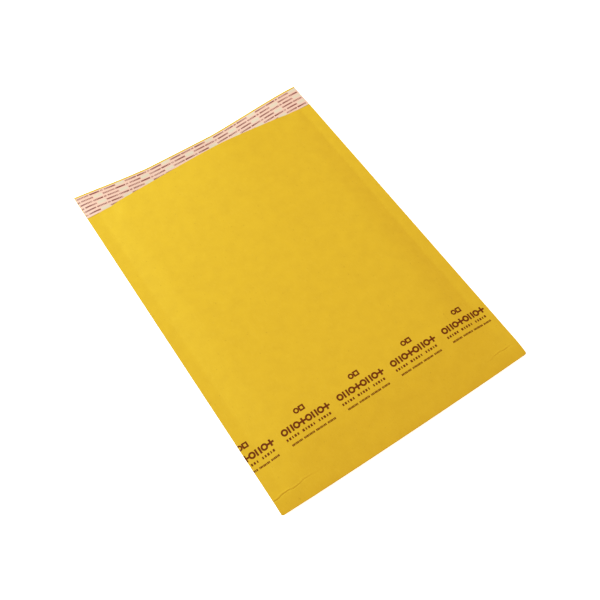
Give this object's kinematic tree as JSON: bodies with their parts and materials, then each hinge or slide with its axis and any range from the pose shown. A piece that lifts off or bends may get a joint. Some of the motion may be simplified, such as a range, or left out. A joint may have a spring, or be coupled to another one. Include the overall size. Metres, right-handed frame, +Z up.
{
  "type": "padded envelope",
  "caption": "Kraft paper mailing envelope lined with air-cell film, with side seams, an open flap, an adhesive band and a peel-off strip.",
  "frame": {"origin": "centre of the box that holds the envelope, on the table it lies on", "axes": "+X across the envelope, +Y from the bottom fold towards the mouth and flap, +Z up from the table through the front panel"},
  "size_m": [0.216, 0.3128, 0.017],
  "materials": {
    "kraft": "matt golden kraft paper",
    "film": "clear glossy polyethylene film with air cells",
    "adhesive": "tacky hot-melt adhesive",
    "liner": "silicone-coated paper, slight sheen"
  },
  "bodies": {
    "root": {"kraft_envelope": "kraft", "bubble_lining": "film", "adhesive_strip": "adhesive", "release_liner": "liner"}
  },
  "joints": []
}
